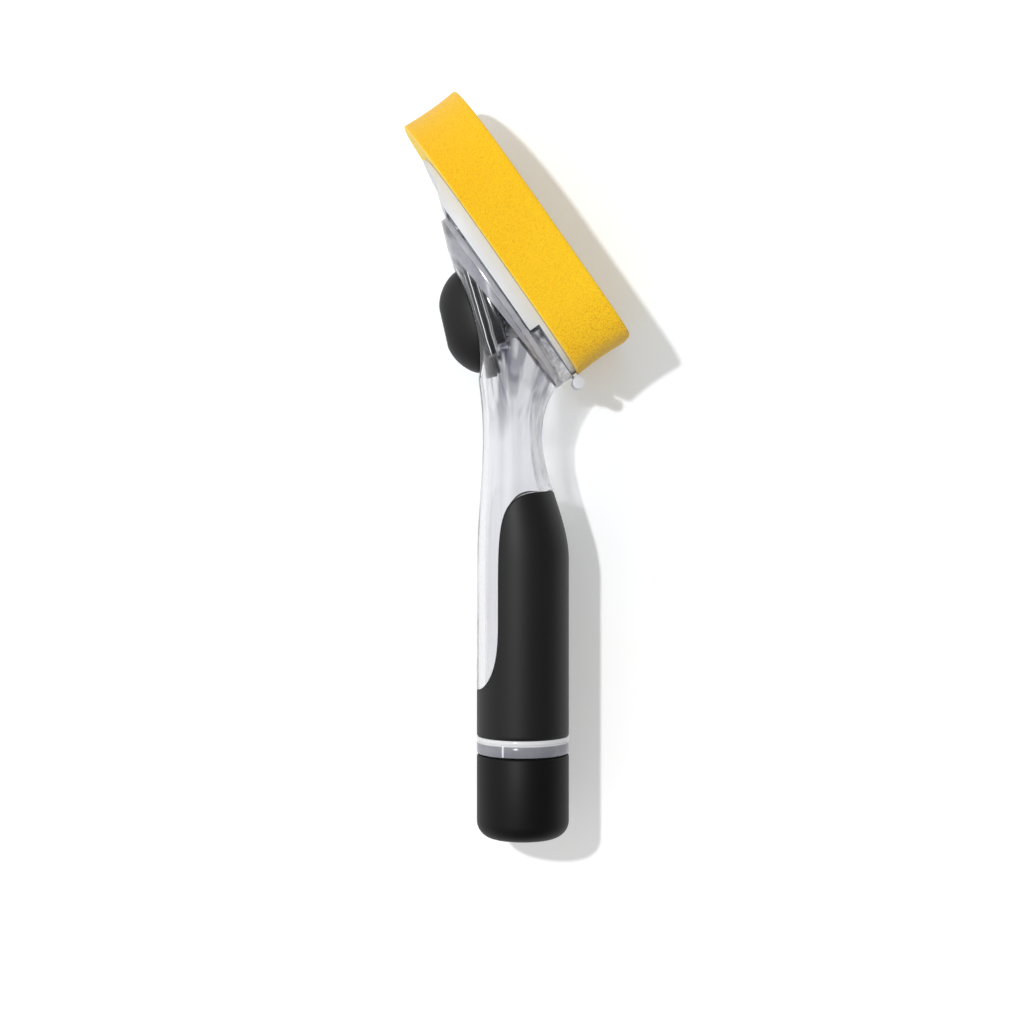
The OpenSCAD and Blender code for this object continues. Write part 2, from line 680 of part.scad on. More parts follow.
module release_tab() {
    tongue_t = tray_t - 0.2;
    color("white") on_head() {
        translate([tab_x, -tab_w / 2, tab_z]) rotate([-90, 0, 0]) cylinder(r = tab_r, h = tab_w);
        translate([tray_roof + 0.1, -tab_w / 2 + 1, tab_z]) cube([tongue_t, tab_w - 2, tab_axis_z - tab_z]);
    }
}

reservoir();
grip_sleeve();
head_cover();
pump_housing();
pump_chamber();
housing_gasket();
inlet_valve();
outlet_valve();
valve_retainer();
outlet_grommet();
return_spring();
button_pad();
button_core();
piston();
piston_seal();
cap_gasket();
base_cap();
cap_core();
sponge_plate();
sponge();
release_tab();
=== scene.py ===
from math import atan2, cos, pi, radians, sin, tan

import bmesh
import bpy
from mathutils import Matrix, Vector


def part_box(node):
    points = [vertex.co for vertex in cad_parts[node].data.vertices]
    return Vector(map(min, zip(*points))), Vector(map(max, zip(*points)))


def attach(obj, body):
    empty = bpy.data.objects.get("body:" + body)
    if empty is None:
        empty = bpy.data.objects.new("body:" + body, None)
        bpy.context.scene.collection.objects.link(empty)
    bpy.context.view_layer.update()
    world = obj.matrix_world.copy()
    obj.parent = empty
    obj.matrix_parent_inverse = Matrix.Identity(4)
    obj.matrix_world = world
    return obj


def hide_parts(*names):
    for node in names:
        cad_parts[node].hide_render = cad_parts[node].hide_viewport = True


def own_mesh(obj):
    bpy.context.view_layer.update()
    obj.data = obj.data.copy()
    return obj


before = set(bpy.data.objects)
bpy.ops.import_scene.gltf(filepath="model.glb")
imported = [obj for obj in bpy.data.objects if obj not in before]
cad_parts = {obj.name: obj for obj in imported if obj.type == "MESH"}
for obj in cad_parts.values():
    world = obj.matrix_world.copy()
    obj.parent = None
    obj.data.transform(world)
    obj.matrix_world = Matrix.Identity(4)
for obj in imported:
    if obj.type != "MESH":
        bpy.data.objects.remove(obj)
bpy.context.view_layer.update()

# Every size below is in millimetres, and MM makes it metres where a mesh is placed
MM = 0.001

# Sizes of the wand, typed as in the part's source or worked out from it. The button's power is called
# oval_power there, the spring's seat is 0.02 less here for a gap, and the thread is only here.
handle_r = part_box("base_cap")[1].x / MM
straight_top, waist_z = 88, 127
waist_front, waist_back, waist_w = 6.2, 12.75, 24.6
handle_wall, head_wall = 2.5, 1.8
head_tilt = radians(35.1)
head_x, head_z = -5.75, 169.9
flange_l, flange_w = 64.4, 41
band_t, band_wedge, band_slant = 4.3, radians(3.4), 2.5
cover_t = 2
lip = 0.4
head_power = 2.5
grip_t = 1.3
grip_top, window_low, window_bowl, window_half = 109.8, 47, 24, 57.5
button_at = 0.66
button_l, button_w, button_h, button_saddle = 35.6, 24.8, 7.9, 2.8
housing_wall, move_gap, housing_floor, gasket_w = 1, 0.35, 5.2, 0.8
button_power, button_stroke, pump_z = 2.3, 2.4, -5
spring_r, spring_wire, spring_curls, spring_seat = 5.7, 0.7, 4, 1.58
sponge_t, sponge_l, sponge_w, sponge_wide_at, sponge_low = 19.4, 95.4, 59, 40, 32.3
tray_h = 5.2
collar_low, collar_h, neck_r, neck_wall, neck_end = 26.8, 5.5, 11.2, 1.6, 9
thread_pitch, thread_depth = 3, 0.9
cap_round = 5.5

waist_h = waist_z - straight_top
flange_high, flange_low = flange_l / 2, -flange_l / 2
mouth_high = (flange_high - band_slant * (band_t - cover_t)) / (1 + band_slant * tan(band_wedge)) - lip
mouth_low = flange_low + lip
opening_low, opening_high, opening_w = flange_low + 2.3, mouth_high - 1, flange_w - 5.4
sponge_back = tray_h + 0.1
sponge_high = sponge_l - sponge_low


# Shapes, in millimetres
def lerp(a, b, t):
    return a + (b - a) * t


def signed_power(v, power):
    return abs(v) ** power * (1 if v >= 0 else -1)


def bezier(a, b, c, d, t):
    r = 1 - t
    return a * r**3 + b * 3 * t * r**2 + c * 3 * t**2 * r + d * t**3


def on_head(x, y, z):
    """A place in the head's frame, x out of the face and z up along it, in the wand's frame."""
    return Vector((head_x + x * cos(head_tilt) - z * sin(head_tilt), y,
                   head_z + x * sin(head_tilt) + z * cos(head_tilt)))


def side(x, z):
    return Vector((x, z))


def head_side(x, z):
    place = on_head(x, 0, z)
    return side(place.x, place.z)


def underside(z):
    """Depth of the flange band's lower face under the head's face."""
    return -(band_t + z * tan(band_wedge))


mouth_back = head_side(underside(mouth_high), mouth_high)
mouth_front = head_side(underside(mouth_low), mouth_low)


def lower_curve(x_low, x_high, s):
    return side(bezier(x_low, x_low, x_high, x_high, s), lerp(straight_top, waist_z, s))


def upper_curve(x, mouth, ease, pull, knee, s):
    return bezier(side(x, waist_z), side(x, lerp(waist_z, mouth.y, ease)),
                  side(lerp(x, mouth.x, pull), lerp(waist_z, mouth.y, knee)), mouth, s)


def back_at(s):
    """The clear shell's back in the side view: s is 0 at the shoulder, 1 at the waist, 2 at the mouth."""
    if s <= 0:
        return side(-handle_r, straight_top + s * waist_h)
    if s <= 1:
        return lower_curve(-handle_r, -waist_back, s)
    return upper_curve(-waist_back, mouth_back, 0.26, 0.344, 0.62, s - 1)


def front_at(s):
    if s <= 0:
        return side(handle_r, straight_top + s * waist_h)
    if s <= 1:
        return lower_curve(handle_r, waist_front, s)
    return upper_curve(waist_front, mouth_front, 0.42, 0.33, 0.705, s - 1)


def half_width(s):
    if s <= 0:
        return handle_r
    if s <= 1:
        return bezier(handle_r, handle_r, waist_w / 2, waist_w / 2, s)
    return bezier(waist_w / 2, waist_w / 2 + 0.7, flange_w / 2 + 0.6, flange_w / 2 - lip, s - 1)


def wall_at(s):
    return lerp(handle_wall, head_wall, min(1, max(0, s)))


def direction(curve, s):
    return (curve(min(s + 0.01, 2)) - curve(max(s - 0.01, -2))).normalized()


def ring_point(s, angle, inset=0):
    """A point of the clear shell's skin at station s, drawn in by an even wall."""
    back, front = back_at(s), front_at(s)
    across = (front - back).normalized()
    back = back + across * inset / abs(direction(back_at, s).cross(across))
    front = front - across * inset / abs(direction(front_at, s).cross(across))
    power = 2 / lerp(2, head_power, min(1, max(0, s - 1)))
    centre = (back + front) / 2
    reach = centre + across * (front - back).length / 2 * signed_power(cos(angle), power)
    return Vector((reach.x, (half_width(s) - inset) * signed_power(sin(angle), power), reach.y))


def station(z):
    return (z - straight_top) / waist_h


def band_point(angle, low, high, width, x=None):
    """A point of the flange band's outline at depth x, or on its sloping lower face."""
    power = 2 / head_power
    z = (low + high) / 2 - (high - low) / 2 * signed_power(cos(angle), power)
    return on_head(underside(z) if x is None else x, width / 2 * signed_power(sin(angle), power), z)


def grip_edge_z(angle):
    """Height of the rubber's upper edge at an angle round the handle, 0 at the sponge side."""
    turned = abs((angle + pi) % (2 * pi) - pi)
    half = radians(window_half)
    middle = window_low + window_bowl
    if turned < pi - half:
        return middle + (grip_top - middle) * (1 - (turned / (pi - half)) ** 5) ** 0.2
    rise = max(0, 1 - ((pi - turned) / half) ** 3)
    return window_low + window_bowl * (1 - rise ** (1 / 3))


def button_frame():
    """Where the button sits on the head's back, and the slant of its long axis."""
    place = back_at(1 + button_at)
    along = direction(back_at, 1 + button_at)
    return place, atan2(-along.x, along.y)


button_place, button_tilt = button_frame()


def on_button(x, y, z):
    return Vector((button_place.x + x * cos(button_tilt) - z * sin(button_tilt), y,
                   button_place.y + x * sin(button_tilt) + z * cos(button_tilt)))


def oval(angle, width, up, low, power_up, power_low):
    power = power_up if sin(angle) >= 0 else power_low
    return (width / 2 * signed_power(cos(angle), 2 / power),
            (up if sin(angle) >= 0 else low) * signed_power(sin(angle), 2 / power))


# Mesh making, where the small distances for merging are in metres
same_place, same_seam = 2e-6, 1e-6
nothing = 1e-8


def into_scene(name, mesh):
    """Turns a finished bmesh into an object of the scene."""
    data = bpy.data.meshes.new(name)
    mesh.to_mesh(data)
    mesh.free()
    thing = bpy.data.objects.new(name, data)
    bpy.context.scene.collection.objects.link(thing)
    return thing


def new_piece(name, mesh, body, material, nodes):
    """Puts a finished bmesh into the scene as a piece that rides on a body of the wand."""
    bmesh.ops.dissolve_degenerate(mesh, edges=mesh.edges, dist=nothing)
    bmesh.ops.recalc_face_normals(mesh, faces=mesh.faces)
    for face in mesh.faces:
        face.smooth = True
    piece = into_scene(name, mesh)
    piece.data.materials.append(material)
    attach(piece, body)
    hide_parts(*nodes)
    return piece


def skin(stretches, around):
    """A grid wrapped into a skin. Each stretch is a number of rows and a function that gives the
    corner at share u of the way round and share t of the stretch."""
    mesh = bmesh.new()
    rows = sum(steps for steps, _ in stretches)
    bmesh.ops.create_grid(mesh, x_segments=around, y_segments=rows, size=0.5)
    for corner in mesh.verts:
        row = round((corner.co.y + 0.5) * rows)
        for steps, place in stretches:
            if row <= steps:
                break
            row -= steps
        corner.co = place(min(1, max(0, corner.co.x + 0.5)), row / steps) * MM
    bmesh.ops.remove_doubles(mesh, verts=mesh.verts, dist=same_place)
    return mesh


def fill_openings(mesh):
    bmesh.ops.holes_fill(mesh, edges=[e for e in mesh.edges if e.is_boundary])


def quarter_turn(mesh, verts):
    """Stands a flat shape upright by a turn about X."""
    bmesh.ops.rotate(mesh, verts=verts, cent=(0, 0, 0), matrix=Matrix.Rotation(radians(90), 3, "X"))


def join(start, end):
    """A straight stretch from the end of one stretch to the start of the next."""
    return lambda u, t: start(u, 1).lerp(end(u, 0), t)


def refined(name, node, body, material, edge, segments=2):
    """A copy of a CAD node with its flat faces merged and its sharp edges rounded."""
    flat, sharp_from = radians(1.5), radians(28)
    mesh = bmesh.new()
    mesh.from_mesh(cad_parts[node].data)
    bmesh.ops.remove_doubles(mesh, verts=mesh.verts, dist=same_place)
    bmesh.ops.dissolve_limit(mesh, angle_limit=flat, verts=mesh.verts, edges=mesh.edges)
    sharp = [e for e in mesh.edges if len(e.link_faces) == 2 and e.calc_face_angle(0) > sharp_from]
    bmesh.ops.bevel(mesh, geom=sharp, offset=edge * MM, affect="EDGES", segments=segments, profile=0.5,
                    material=-1, clamp_overlap=True)
    bmesh.ops.triangulate(mesh, faces=mesh.faces)
    return new_piece(name, mesh, body, material, [node])


def cut_port(shell):
    """Cuts the oval hole for the pump well through the back of the clear shell."""
    half = button_l / 2 + gasket_w
    mesh = bmesh.new()
    rim = bmesh.ops.create_circle(mesh, segments=180, radius=1, cap_ends=True)["verts"]
    for corner in rim:
        angle = atan2(corner.co.y, corner.co.x)
        y, z = oval(angle, button_w + 2 * gasket_w, half, half, button_power, button_power)
        corner.co = on_button(-button_h, y, z) * MM
    sides = bmesh.ops.extrude_face_region(mesh, geom=mesh.faces[:])["geom"]
    deep = (on_button(housing_floor, 0, 0) - on_button(-button_h, 0, 0)) * MM
    bmesh.ops.translate(mesh, verts=[v for v in sides if isinstance(v, bmesh.types.BMVert)], vec=deep)
    fill_openings(mesh)
    bmesh.ops.recalc_face_normals(mesh, faces=mesh.faces)
    cutter = into_scene("port_cutter", mesh)
    cut = shell.modifiers.new("port", "BOOLEAN")
    cut.operation, cut.solver, cut.object = "DIFFERENCE", "EXACT", cutter
    result = bpy.data.meshes.new_from_object(shell.evaluated_get(bpy.context.evaluated_depsgraph_get()))
    shell.modifiers.remove(cut)
    shell.data = result
    result.set_sharp_from_angle(angle=radians(55))
    bpy.data.objects.remove(cutter)


def lathe(profile, steps):
    """Turns a side outline of (radius, height) pairs once round the handle's axis."""
    mesh = bmesh.new()
    corners = [mesh.verts.new((r * MM, 0, z * MM)) for r, z in profile]
    edges = [mesh.edges.new(pair) for pair in zip(corners, corners[1:])]
    bmesh.ops.spin(mesh, geom=corners + edges, axis=(0, 0, 1), cent=(0, 0, 0),
                   angle=2 * pi, steps=steps, use_merge=True)
    bmesh.ops.remove_doubles(mesh, verts=mesh.verts, dist=same_seam)
    return mesh


# Materials: a socket in an expression adds its own maths nodes
class Value:
    def __init__(self, tree, socket):
        self.tree, self.socket = tree, socket

    def maths(self, operation, *others, clamp=False):
        node = self.tree.nodes.new("ShaderNodeMath")
        node.operation, node.use_clamp = operation, clamp
        for entry, value in zip(node.inputs, (self, *others)):
            if isinstance(value, Value):
                self.tree.links.new(value.socket, entry)
            else:
                entry.default_value = value
        return Value(self.tree, node.outputs[0])

    def __add__(self, other):
        return self.maths("ADD", other)

    def __sub__(self, other):
        return self.maths("SUBTRACT", other)

    def __mul__(self, other):
        return self.maths("MULTIPLY", other)

    def __rsub__(self, other):
        return (self * -1) + other

    __radd__, __rmul__ = __add__, __mul__

    def clamp(self):
        return self.maths("ADD", 0, clamp=True)


class Finish:
    """A material's node tree, with one method that adds any node."""

    def __init__(self, name, tree=None):
        if tree is None:
            self.material = bpy.data.materials.new(name)
            self.material.use_nodes = True
            tree = self.material.node_tree
        self.tree = tree
        tree.nodes.clear()

    def add(self, kind, settings=None, output=0, **inputs):
        node = self.tree.nodes.new("ShaderNode" + kind)
        for key, value in (settings or {}).items():
            setattr(node, key, value)
        for key, value in inputs.items():
            entry = node.inputs[int(key[1:])] if key[1:].isdigit() else node.inputs[key.replace("_", " ")]
            if isinstance(value, Value):
                self.tree.links.new(value.socket, entry)
            else:
                entry.default_value = value
        return Value(self.tree, node.outputs[output])

    def coordinates(self):
        return self.add("TexCoord", output="Object")

    def axis(self, where, letter):
        return self.add("SeparateXYZ", Vector=where, output=letter)

    def ray(self, kind):
        """1 for rays of a kind and 0 for the others."""
        return self.add("LightPath", output="Is %s Ray" % kind)

    def noise(self, scale, detail=2, roughness=0.5, where=None):
        return self.add("TexNoise", Vector=where or self.coordinates(), Scale=scale, Detail=detail,
                        Roughness=roughness)

    def cells(self, scale):
        return self.add("TexVoronoi", Vector=self.coordinates(), Scale=scale)

    def mix(self, factor, a, b):
        return self.add("Mix", {"data_type": "RGBA"}, output=2, i0=factor, i6=a, i7=b)

    def bump(self, height, distance, strength=1):
        return self.add("Bump", Height=height, Distance=distance, Strength=strength)

    def finish(self, shader):
        out = self.tree.nodes.new("ShaderNodeOutputMaterial")
        self.tree.links.new(shader.socket, out.inputs["Surface"])
        return self.material


def colour(r, g, b):
    return (r, g, b, 1)


def axes(tilt):
    """Directions out of something that leans by a tilt, and up along it."""
    return Vector((cos(tilt), 0, sin(tilt))), Vector((-sin(tilt), 0, cos(tilt)))


head_out, head_up = axes(head_tilt)
head_middle = Vector((head_x, 0, head_z))
button_in, button_up = axes(button_tilt)
button_middle = Vector((button_place.x, 0, button_place.y))


def reach_along(f, where, out, start):
    """Distance in metres past a place, along a direction."""
    reach = f.add("VectorMath", {"operation": "DOT_PRODUCT"}, output="Value", i0=where, i1=out)
    return reach - out.dot(start) * MM


def depth_in_head(f, where, slant=0.0):
    """Distance out of the head's face, or above a plane slanted to it."""
    return reach_along(f, where, head_out + slant * head_up, head_middle)


def step_at(value, limit, soft):
    """0 below the limit and 1 above it."""
    return ((value - limit) * (0.5 / soft) + 0.5).clamp()


def past(value, place, soft=0.08):
    """0 before a place and 1 past it. The value is in metres, the place and softness in millimetres."""
    return step_at(value, place * MM, soft * MM)


def stripe(value, low, high, soft=0.08):
    return past(value, low, soft) * (1 - past(value, high, soft))


# Marks painted in the clear plastic, in millimetres. They stand in for reflections and refractions that the
# modelled walls don't give. A turn, start or top is a place and its softness, and a depth, strip or line is
# its two edges. ring_bright_at is a share of the ring, well_fan a slope and shade_bend a curvature.
streaks_turn, streaks_start = (148, 12), (138, 13)
wedge_depth, wedge_start = (-3.4, -2.1), (25.5, 2)
ring_bright_at, ring_highlight_x, ring_highlight_half = 0.66, -6.3, (0.28, 0.1)
well_fan, well_waver, well_top = 0.06, 0.8, (16.5, 2)
well_strips = (((3.2, 6.1), (-12.8, 0.6)), ((7.1, 9.7), (-10.2, 0.6)))
well_lines, well_lines_start = ((4.15, 4.4), (6.1, 6.4), (6.75, 6.9)), (-12.5, 1)
shade_depth, shade_heights, shade_bend = (-1.9, -0.6, 0.3), (110, 146, 6), 0.009


def clear_plastic(name, edge_factor=None, painted_reflection_streaks=False):
    """Polished clear moulding. Lamps pass through it in part, so its shadow is pale and uneven. The dark
    streaks are painted reflections, and edge_factor gives painted light and shade in place of the clear
    look."""
    f = Finish(name)
    where = f.coordinates()
    waves = f.noise(60, 1)
    tint = colour(0.955, 0.955, 0.965)
    if painted_reflection_streaks:
        up = f.axis(where, "Z")
        in_head = past(up, *streaks_turn)
        leaning = f.add("Mapping", Vector=where, Rotation=(0, head_tilt, 0), Scale=(1, 1, 0.08))
        upright = f.add("Mapping", Vector=where, Scale=(1, 1, 0.09))
        across = (f.noise(260, 1, 0.4, leaning) * in_head
                  + f.noise(190, 1, 0.4, upright) * (1 - in_head))
        strength = past(up, *streaks_start) * 0.94 + 0.06
        # Painted reflections: dark streaks mixed into the glass tint
        dark = step_at(across, 0.555, 0.04) * strength
        waves = waves * 0.4 + across * 0.6
        tint = f.mix(dark, tint, colour(0.25, 0.25, 0.30))
    glass = f.add("BsdfPrincipled", Base_Color=tint, Roughness=0.02, IOR=1.49, Transmission_Weight=1,
                  Normal=f.bump(waves, 0.0004, 0.35))
    passing = (f.noise(110, 2) * 0.9 + 0.2).clamp()
    if edge_factor:
        factor, tone = edge_factor(f, where)
        edge = f.add("BsdfPrincipled", Base_Color=tone, Roughness=0.16, IOR=1.49)
        glass = f.add("MixShader", i0=factor, i1=glass, i2=edge)
        passing = passing * (1 - factor)
    through = f.add("BsdfTransparent", Color=colour(0.93, 0.93, 0.94))
    return f.finish(f.add("MixShader", i0=f.ray("Shadow") * passing, i1=glass, i2=through))


def shell_edges(f, where):
    """Painted light and shade where the clear wall doesn't look clear: the flange band's grey and dark
    wedge, the collar ring's grey with painted highlights, painted dark strips and highlight lines where the
    pump well behind the button shows through, and painted shade at the waist's front."""
    up, across, mottle = f.axis(where, "Z"), f.axis(where, "X"), f.noise(260, 3, 0.6)

    band = past(depth_in_head(f, where, tan(band_wedge)), 0.15 - band_t)
    along = reach_along(f, where, head_up, head_middle)
    wedge = stripe(depth_in_head(f, where), *wedge_depth, 0.2) * past(along, *wedge_start)
    # Painted shade: the flange band's mottled grey and its dark wedge stand in for refraction
    strip = f.mix(mottle, colour(0.24, 0.24, 0.28), colour(0.50, 0.50, 0.55))
    strip = f.mix(wedge, strip, colour(0.02, 0.02, 0.03))

    # Painted light on the collar ring: grey below, a painted highlight on its upper part and a painted
    # highlight line across it
    ring = stripe(up, collar_low + 0.2, collar_low + collar_h)
    bright = past(up, collar_low + collar_h * ring_bright_at, 0.2)
    ring_highlight_line = 1 - past((across - ring_highlight_x * MM).maths("ABSOLUTE"), *ring_highlight_half)
    grey = f.mix(mottle, colour(0.19, 0.19, 0.225), colour(0.33, 0.33, 0.37))
    rim = f.mix((bright + ring_highlight_line).clamp(), grey, colour(0.82, 0.82, 0.84))

    # Painted shade and highlights: dark strips and bright lines where the pump well shows through the wall
    inward = reach_along(f, where, button_in, button_middle)
    height = reach_along(f, where, button_up, button_middle)
    wavy = inward + height * well_fan + (f.noise(120, 1) - 0.5) * (well_waver * MM)
    painted_well_strips = sum(stripe(wavy, *depths) * past(height, *start) for depths, start in well_strips)
    painted_bright_lines = sum(stripe(wavy, *depths) for depths in well_lines) * past(height, *well_lines_start)
    inside = 1 - past(height, *well_top)

    off_waist = up - waist_z * MM
    front = across - off_waist * off_waist * (shade_bend / MM) - waist_front * MM
    shade = stripe(front, *shade_depth) * stripe(up, *shade_heights) * (mottle + 0.3).clamp()

    elsewhere = (1 - band) * (1 - ring)
    tone = f.mix(ring, strip, rim)
    tone = f.mix(painted_well_strips * elsewhere, tone, colour(0.006, 0.006, 0.009))
    tone = f.mix(painted_bright_lines * elsewhere, tone, colour(0.85, 0.85, 0.88))
    tone = f.mix(shade * elsewhere, tone, colour(0.16, 0.16, 0.19))
    marks = (painted_well_strips * 0.72 + painted_bright_lines * 0.5) * inside + shade * 0.55
    return (band * 0.8 + ring * 0.9 + marks * elsewhere).clamp(), tone


def cover_edges(f, where):
    """Painted shade on the cover plate's rim beside the flange band, and painted grey with bright strokes
    on the dock on its face.
    """
    depth = depth_in_head(f, where)
    # Painted light and shade: the rim's mottled grey and the dock's bright strokes stand in for light bent
    # in the clear plate
    rim, dock = stripe(depth, 0.15 - cover_t, -0.15), past(depth, 0.05)
    painted_strokes = step_at(f.noise(420, 3, 0.6, f.add("Mapping", Vector=where, Scale=(1, 0.3, 1))), 0.5, 0.1)
    painted_dock_tone = f.mix(painted_strokes, colour(0.45, 0.45, 0.49), colour(0.90, 0.90, 0.92))
    plain = f.mix(f.noise(260, 3, 0.6), colour(0.30, 0.30, 0.34), colour(0.58, 0.58, 0.62))
    return rim * 0.75 + dock * 0.6, f.mix(dock, plain, painted_dock_tone)


def soft_rubber(name, light, dark, gloss):
    """Soft black overmould with a very fine eggshell grain."""
    f = Finish(name)
    grain = f.noise(4200, 3, 0.6)
    tone = f.mix(f.noise(45), dark, light)
    return f.finish(f.add("BsdfPrincipled", Base_Color=tone, Roughness=grain * 0.16 + 0.42,
                          Specular_IOR_Level=gloss, Normal=f.bump(grain, 0.00005, 0.35)))


def black_plastic():
    f = Finish("black_plastic")
    grain = f.noise(2500, 2)
    tone = f.mix(f.noise(60), colour(0.010, 0.010, 0.011), colour(0.016, 0.016, 0.017))
    return f.finish(f.add("BsdfPrincipled", Base_Color=tone, Roughness=grain * 0.12 + 0.3,
                          Normal=f.bump(grain, 0.00004, 0.25)))


def white_plastic():
    """Milky moulding that lets a little light through."""
    f = Finish("white_plastic")
    cloud = f.noise(120, 3)
    tone = f.mix(cloud, colour(0.60, 0.625, 0.67), colour(0.66, 0.685, 0.73))
    grain = f.noise(3000, 2)
    return f.finish(f.add("BsdfPrincipled", Base_Color=tone, Roughness=grain * 0.12 + 0.4,
                          Subsurface_Weight=0.15, Subsurface_Radius=(0.003, 0.003, 0.003),
                          Subsurface_Scale=0.5, Normal=f.bump(grain, 0.00003, 0.2)))


def silicone():
    f = Finish("silicone")
    cloud = f.noise(200, 2)
    tone = f.mix(cloud, colour(0.72, 0.73, 0.72), colour(0.8, 0.8, 0.79))
    return f.finish(f.add("BsdfPrincipled", Base_Color=tone, Roughness=cloud * 0.1 + 0.35,
                          Subsurface_Weight=0.4, Subsurface_Radius=(0.003, 0.003, 0.003)))


def foam():
    """Fine open foam: small cells with darker pores, over soft uneven patches. Its back face has a
    painted light, and its low end a painted shade that darkens it and its pores most."""
    f = Finish("foam")
    where, back_skin, low_end_shade_place = f.coordinates(), 0.2, (11 - sponge_low, 9)
    cells = f.cells(2300)
    coarse = f.cells(900)
    grain = f.noise(3800, 4, 0.7)
    patch = f.noise(70, 3)
    warmth = (f.axis(where, "X") * 9 + 0.45 + (patch - 0.5) * 0.3).clamp()
    base = f.mix(warmth, colour(0.94, 0.51, 0.002), colour(0.99, 0.66, 0.014))
    # Painted light: the back face is lighter
    back = 1 - past(depth_in_head(f, where), sponge_back + back_skin)
    base = f.mix(back, base, colour(1.0, 0.70, 0.05))
    # Painted shade: the low end is darker, its pores most of all
    low_end_shade = 1 - past(reach_along(f, where, head_up, head_middle), *low_end_shade_place)
    pores = (cells * 1.5 + coarse * 0.1 - 0.55).clamp()
    tone = f.mix(pores * (low_end_shade * 0.5 + 0.42) + low_end_shade * 0.12, base, colour(0.62, 0.27, 0.001))
    light = f.mix((grain - 0.5).clamp() * 1.3, tone, colour(1.0, 0.70, 0.06))
    height = grain * 0.6 - cells * 0.8 - coarse * 0.3
    return f.finish(f.add("BsdfPrincipled", Base_Color=light, Roughness=0.92, Specular_IOR_Level=0.15,
                          Sheen_Weight=0.2, Sheen_Roughness=0.6, Subsurface_Weight=0.15,
                          Subsurface_Radius=(0.0025, 0.0015, 0.0003),
                          Normal=f.bump(height, 0.0003, 0.5)))


def spring_steel():
    f = Finish("spring_steel")
    streaks = f.noise(900, 2)
    return f.finish(f.add("BsdfPrincipled", Base_Color=colour(0.55, 0.55, 0.56), Metallic=1,
                          Roughness=streaks * 0.2 + 0.25))


CLEAR, BLACK = clear_plastic("clear_plastic"), black_plastic()
RUBBER = soft_rubber("grip_rubber", colour(0.0125, 0.0125, 0.013), colour(0.009, 0.009, 0.0095), 0.32)
CAP_RUBBER = soft_rubber("cap_rubber", colour(0.006, 0.006, 0.0065), colour(0.004, 0.004, 0.0045), 0.2)
CLEAR_SHELL = clear_plastic("clear_shell_plastic", shell_edges, True)
CLEAR_COVER = clear_plastic("clear_cover_plastic", cover_edges)
WHITE, SILICONE, FOAM, STEEL = white_plastic(), silicone(), foam(), spring_steel()


# Pieces
def handle_angle(u, front=66, window=44):
    """Angle round the handle at share u, with the corners drawn together at the window's sides."""
    half = radians(window_half)
    turned = abs(2 * u - 1)
    share = front / (front + window)
    if turned < share:
        angle = (pi - half) * (1 - (1 - turned / share) ** 2.2)
    else:
        angle = pi - half * (1 - ((turned - share) / (1 - share)) ** 1.8)
    return angle if u >= 0.5 else -angle


def thread_r(angle, z):
    """Radius of the neck's outside: a rounded thread that runs out at both ends."""
    low, high, core = neck_end + 1.2, collar_low - 3, neck_r - thread_depth
    turn = (z / thread_pitch - angle / (2 * pi)) % 1
    crest = max(0, 1 - abs(turn - 0.5) / 0.3) ** 0.6
    fade = min(1, max(0, (z - low) / 2)) * min(1, max(0, (high - z) / 2))
    return core + thread_depth * crest * fade


def round_handle(r, z):
    return lambda u, t: Vector((r * cos(handle_angle(u)), r * sin(handle_angle(u)), z))


def make_shell():
    """The clear body in one closed wall: neck, collar ring, handle, waist and head outside, then
    over the mouth's rim and down the inside to the neck's bore."""
    bore, core, top = neck_r - neck_wall, neck_r - thread_depth, collar_low + collar_h
    groove, head_start, tank_start = collar_low + collar_h * 0.72, 0.64, 0.1
    edge, round_edge = 0.3, 0.35

    def neck(u, t):
        angle, z = handle_angle(u), lerp(neck_end + edge, collar_low - edge, t)
        return Vector((thread_r(angle, z) * cos(angle), thread_r(angle, z) * sin(angle), z))

    def recess(u, t):
        angle = handle_angle(u)
        return ring_point(station(lerp(top, grip_edge_z(angle), t)), angle, grip_t)

    def above_grip(u, t):
        angle = handle_angle(u)
        return ring_point(station(lerp(grip_edge_z(angle), straight_top + head_start * waist_h, t)), angle)

    def head(u, t):
        return ring_point(lerp(head_start, 2, t), handle_angle(u))

    def band_foot(u, t):
        return band_point(handle_angle(u), mouth_low - lip, mouth_high + lip, flange_w)

    def band_top(u, t):
        return band_point(handle_angle(u), flange_low, flange_high, flange_w, -cover_t)

    def hole(u, t):
        return band_point(handle_angle(u), opening_low, opening_high, opening_w, -cover_t)

    def inside(u, t):
        s = lerp(2, tank_start, t)
        return ring_point(s, handle_angle(u), wall_at(s))

    def tank(u, t):
        z = lerp(straight_top + tank_start * waist_h, top, t)
        return ring_point(station(z), handle_angle(u), handle_wall)

    outline = [round_handle(r, z) for r, z in (
        (bore, neck_end + edge), (bore + edge, neck_end), (core - edge, neck_end))]
    ring = [round_handle(r, z) for r, z in (
        (core, collar_low), (handle_r - round_edge, collar_low), (handle_r, collar_low + round_edge),
        (handle_r, groove - round_edge), (handle_r - edge, groove), (handle_r, groove + round_edge),
        (handle_r, top - edge), (handle_r - edge, top))]
    bore_top = round_handle(bore, top - 1)
    stretches = [(1, join(a, b)) for a, b in zip(outline, outline[1:])]
    stretches += [(1, join(outline[-1], neck)), (90, neck), (1, join(neck, ring[0]))]
    stretches += [(2, join(a, b)) for a, b in zip(ring, ring[1:])]
    stretches += [(1, join(ring[-1], recess)), (24, recess), (1, join(recess, above_grip)),
                  (20, above_grip), (72, head), (3, join(head, band_foot)), (3, join(band_foot, band_top)),
                  (3, join(band_top, hole)), (2, join(hole, inside)), (80, inside), (20, tank),
                  (2, join(tank, bore_top)), (6, join(bore_top, outline[0]))]
    shell = new_piece("clear_shell", skin(stretches, 220), "handle", CLEAR_SHELL,
                      ["reservoir"])
    cut_port(shell)
    return shell


